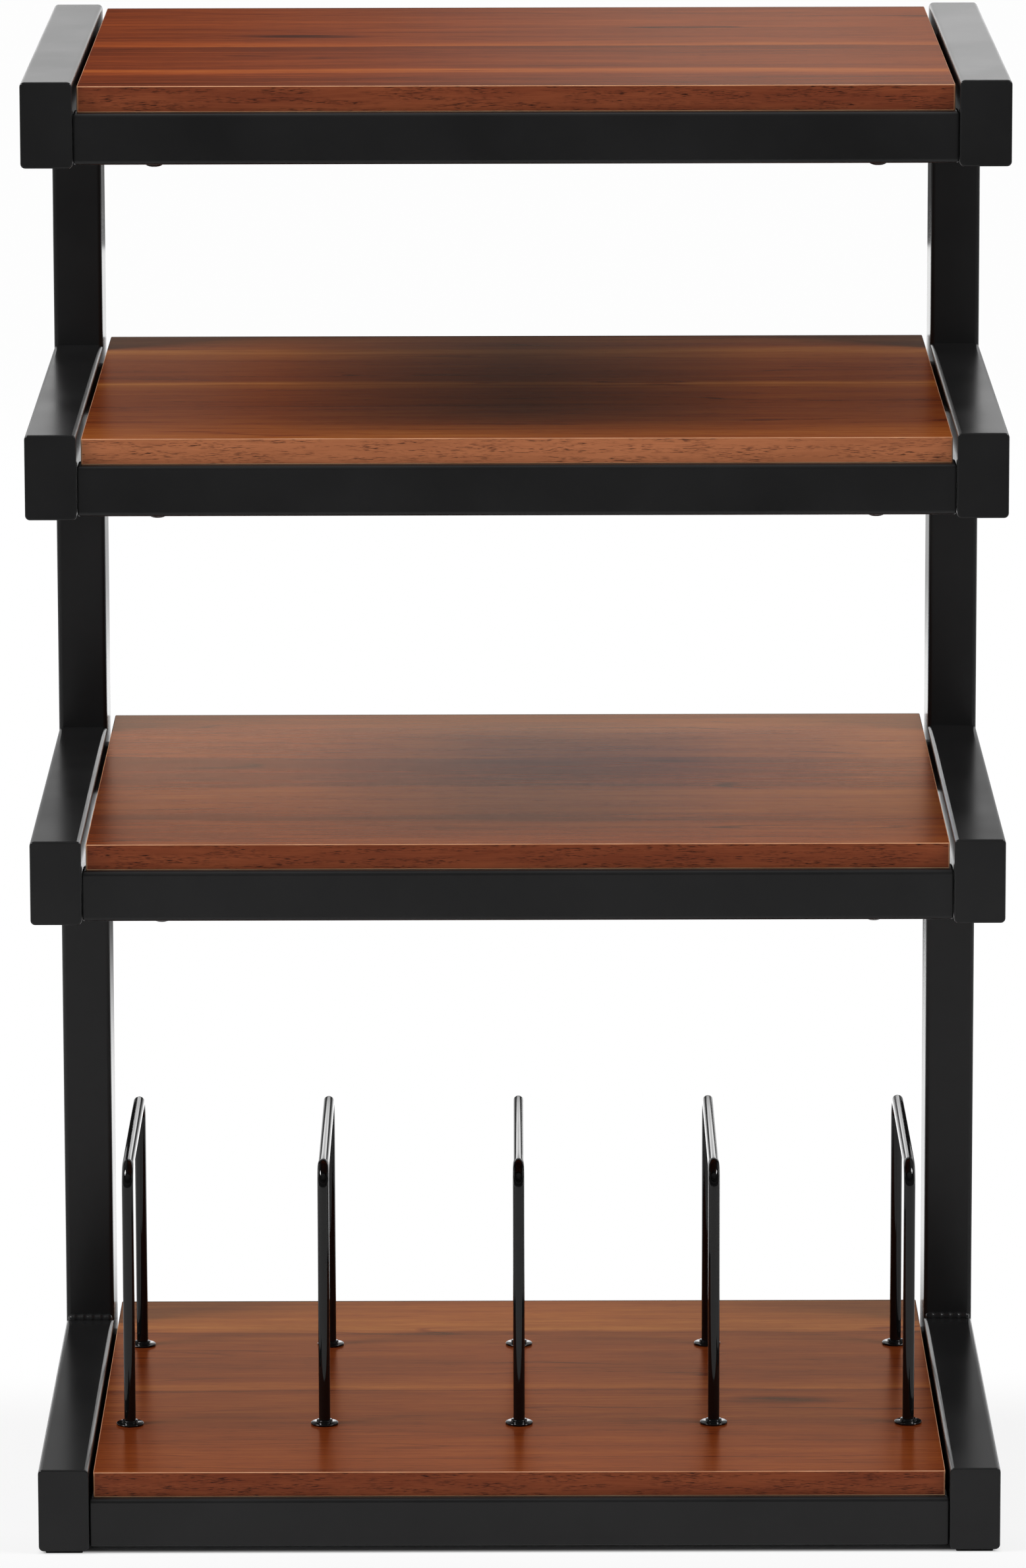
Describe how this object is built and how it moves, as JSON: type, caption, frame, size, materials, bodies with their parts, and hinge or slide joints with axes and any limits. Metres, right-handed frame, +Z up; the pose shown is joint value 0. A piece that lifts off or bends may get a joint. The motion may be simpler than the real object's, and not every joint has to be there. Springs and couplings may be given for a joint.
{
  "type": "audio equipment rack",
  "caption": "Open rack for audio equipment: wood shelves on rails between welded steel side frames with rear posts, and wire record dividers on the base shelf.",
  "frame": {"origin": "on the floor, in the middle of the footprint", "axes": "+X to the right as seen from the front, +Y from the open front to the posts at the back, +Z up"},
  "size_m": [0.57, 0.406, 0.8765],
  "materials": {
    "satin_black_steel": "satin powder coat",
    "walnut_board": "satin walnut with a long straight grain and edge banding",
    "gloss_black_wire": "gloss black",
    "black_screw": "satin black",
    "foot_rubber": "matte"
  },
  "bodies": {
    "root": {"side_tube_base_left": "satin_black_steel", "side_tube_lower_left": "satin_black_steel", "side_tube_upper_left": "satin_black_steel", "side_tube_top_left": "satin_black_steel", "post_base_left": "satin_black_steel", "post_lower_left": "satin_black_steel", "post_upper_left": "satin_black_steel", "foot_strip_left": "foot_rubber", "side_tube_base_right": "satin_black_steel", "side_tube_lower_right": "satin_black_steel", "side_tube_upper_right": "satin_black_steel", "side_tube_top_right": "satin_black_steel", "post_base_right": "satin_black_steel", "post_lower_right": "satin_black_steel", "post_upper_right": "satin_black_steel", "foot_strip_right": "foot_rubber", "front_rail_base": "satin_black_steel", "shelf_screw_base_front_left": "black_screw", "shelf_screw_base_front_right": "black_screw", "rear_rail_base": "satin_black_steel", "shelf_screw_base_rear_left": "black_screw", "shelf_screw_base_rear_right": "black_screw", "shelf_board_base": "walnut_board", "front_rail_lower": "satin_black_steel", "shelf_screw_lower_front_left": "black_screw", "shelf_screw_lower_front_right": "black_screw", "rear_rail_lower": "satin_black_steel", "shelf_screw_lower_rear_left": "black_screw", "shelf_screw_lower_rear_right": "black_screw", "shelf_board_lower": "walnut_board", "front_rail_upper": "satin_black_steel", "shelf_screw_upper_front_left": "black_screw", "shelf_screw_upper_front_right": "black_screw", "rear_rail_upper": "satin_black_steel", "shelf_screw_upper_rear_left": "black_screw", "shelf_screw_upper_rear_right": "black_screw", "shelf_board_upper": "walnut_board", "front_rail_top": "satin_black_steel", "shelf_screw_top_front_left": "black_screw", "shelf_screw_top_front_right": "black_screw", "rear_rail_top": "satin_black_steel", "shelf_screw_top_rear_left": "black_screw", "shelf_screw_top_rear_right": "black_screw", "shelf_board_top": "walnut_board", "divider_1": "gloss_black_wire", "divider_screw_1_front": "black_screw", "divider_screw_1_rear": "black_screw", "divider_2": "gloss_black_wire", "divider_screw_2_front": "black_screw", "divider_screw_2_rear": "black_screw", "divider_3": "gloss_black_wire", "divider_screw_3_front": "black_screw", "divider_screw_3_rear": "black_screw", "divider_4": "gloss_black_wire", "divider_screw_4_front": "black_screw", "divider_screw_4_rear": "black_screw", "divider_5": "gloss_black_wire", "divider_screw_5_front": "black_screw", "divider_screw_5_rear": "black_screw"}
  },
  "joints": []
}
